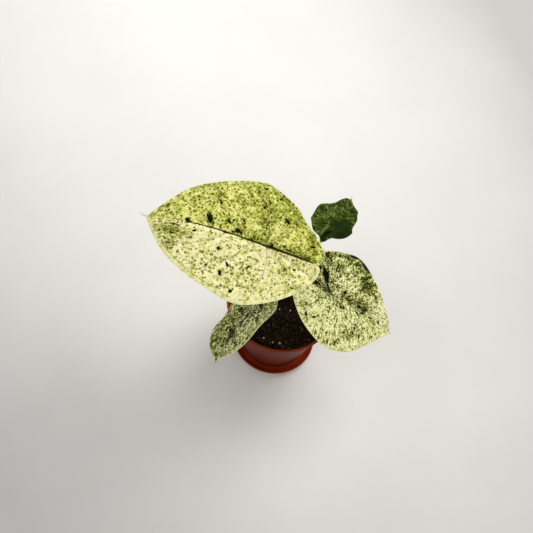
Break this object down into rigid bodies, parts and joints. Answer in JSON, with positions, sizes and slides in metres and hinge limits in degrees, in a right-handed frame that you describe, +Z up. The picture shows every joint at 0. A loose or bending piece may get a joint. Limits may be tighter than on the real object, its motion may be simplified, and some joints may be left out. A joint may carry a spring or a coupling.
{
  "type": "potted alocasia",
  "caption": "Alocasia house plant with cream and green speckled leaves on slim stalks, in a tapered terracotta-red nursery pot of soil on a shallow saucer.",
  "frame": {"origin": "centre of the saucer's flat underside", "axes": "+Z up; +Y away from the picture's viewer; the largest leaf points along -X"},
  "size_m": [0.2732, 0.206, 0.2444],
  "materials": {
    "pot_plastic": "semi-gloss moulded",
    "saucer_plastic": "semi-gloss moulded",
    "soil": "crumbly, matte",
    "corm": "fibrous, matte",
    "stalk": "satin skin",
    "cream_leaf": "satin, speckled",
    "dark_leaf": "satin, mottled"
  },
  "bodies": {
    "root": {"saucer": "saucer_plastic", "pot": "pot_plastic", "soil": "soil", "stem": "corm", "petiole_1": "stalk", "petiole_2": "stalk", "petiole_3": "stalk", "petiole_4": "stalk", "leaf_1": "cream_leaf", "leaf_2": "cream_leaf", "leaf_3": "cream_leaf", "leaf_4": "dark_leaf"}
  },
  "joints": []
}
